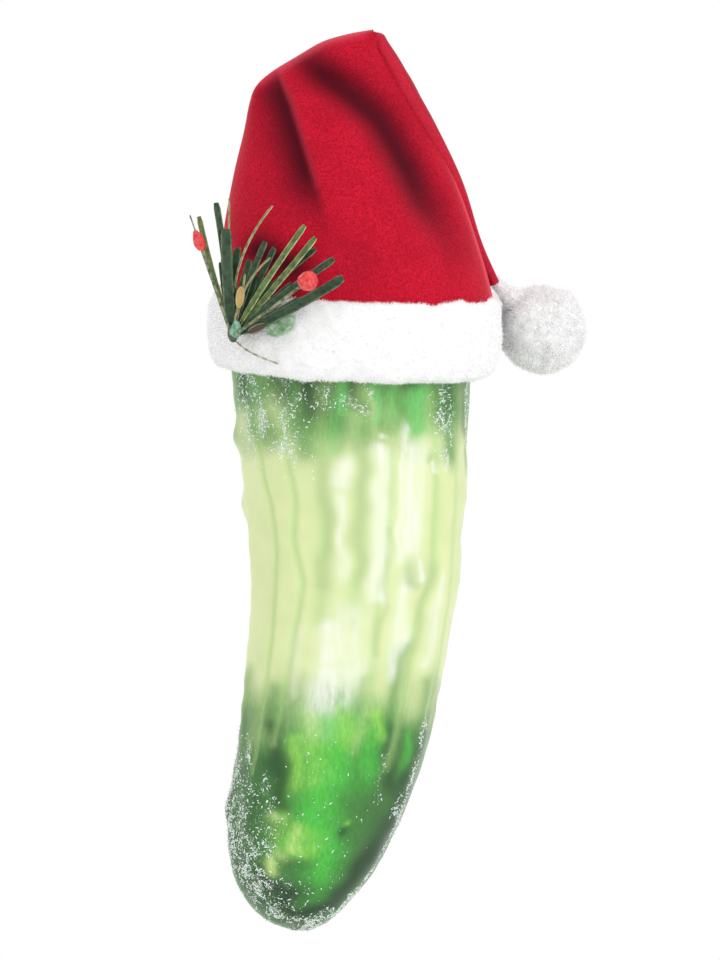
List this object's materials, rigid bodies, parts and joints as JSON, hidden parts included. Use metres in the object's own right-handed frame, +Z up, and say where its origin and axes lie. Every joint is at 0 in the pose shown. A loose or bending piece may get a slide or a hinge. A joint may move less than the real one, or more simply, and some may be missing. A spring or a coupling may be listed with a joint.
{
  "type": "pickle ornament",
  "caption": "Hanging blown glass pickle with ridges and warts, wearing a folded velvet hat with a plush band, a swinging pompom and a pine sprig with berries.",
  "frame": {"origin": "centre of the hanging eye, behind the crest of the hat", "axes": "+Z up along the ornament's length, +X to the viewer's right, +Y to the back of the hat"},
  "size_m": [0.0673, 0.0583, 0.152],
  "materials": {
    "frosted_glass": "blown glass, frosted green and white lacquer with glitter frost",
    "cap_metal": "pressed bright sheet",
    "spring_wire": "drawn spring wire",
    "hot_glue": "milky hot glue",
    "red_velvet": "short pile velvet",
    "white_plush": "deep pile plush",
    "white_thread": "sewing thread",
    "green_tape": "waxed paper tape",
    "dark_needle": "pressed sheet, dark green",
    "bright_needle": "pressed sheet, yellow green edges",
    "red_wax": "waxed berry",
    "green_wire": "lacquered wire",
    "tan_scale": "dry scale",
    "blue_green_dab": "dab of dyed glue",
    "green_moss": "fuzzy tuft",
    "brown_wire": "thin bare wire"
  },
  "bodies": {
    "ornament": {"pickle_glass": "frosted_glass", "ornament_cap": "cap_metal", "hanger_wire": "spring_wire", "glue_bead": "hot_glue", "hat_crown": "red_velvet", "brim_band": "white_plush", "sprig_binding": "green_tape", "berry_left": "red_wax", "berry_right": "red_wax", "berry_stem_left": "green_wire", "berry_stem_right": "green_wire", "bract_upper": "tan_scale", "bract_lower": "tan_scale", "sprig_dab": "blue_green_dab", "moss_tuft": "green_moss", "wire_tail": "brown_wire", "needle_01": "dark_needle", "needle_02": "dark_needle", "needle_03": "bright_needle", "needle_04": "dark_needle", "needle_05": "bright_needle", "needle_06": "dark_needle", "needle_07": "dark_needle", "needle_08": "bright_needle", "needle_09": "bright_needle", "needle_10": "dark_needle", "needle_11": "dark_needle", "needle_12": "dark_needle", "needle_13": "bright_needle"},
    "tail": {"hat_tail": "red_velvet"},
    "ball": {"pompom": "white_plush", "pompom_tie": "white_thread"}
  },
  "joints": [
    {"name": "tail_swing", "type": "hinge", "parent": "ornament", "child": "tail", "pos_m": [0.00546, -0.0075, 0.00301], "axis": [0, -1, 0], "range_deg": [0, 150]},
    {"name": "pompom_swing", "type": "hinge", "parent": "tail", "child": "ball", "pos_m": [0.02661, 0.00603, -0.03857], "axis": [0.2787, -0.9538, -0.1119], "range_deg": [0, 70]}
  ]
}
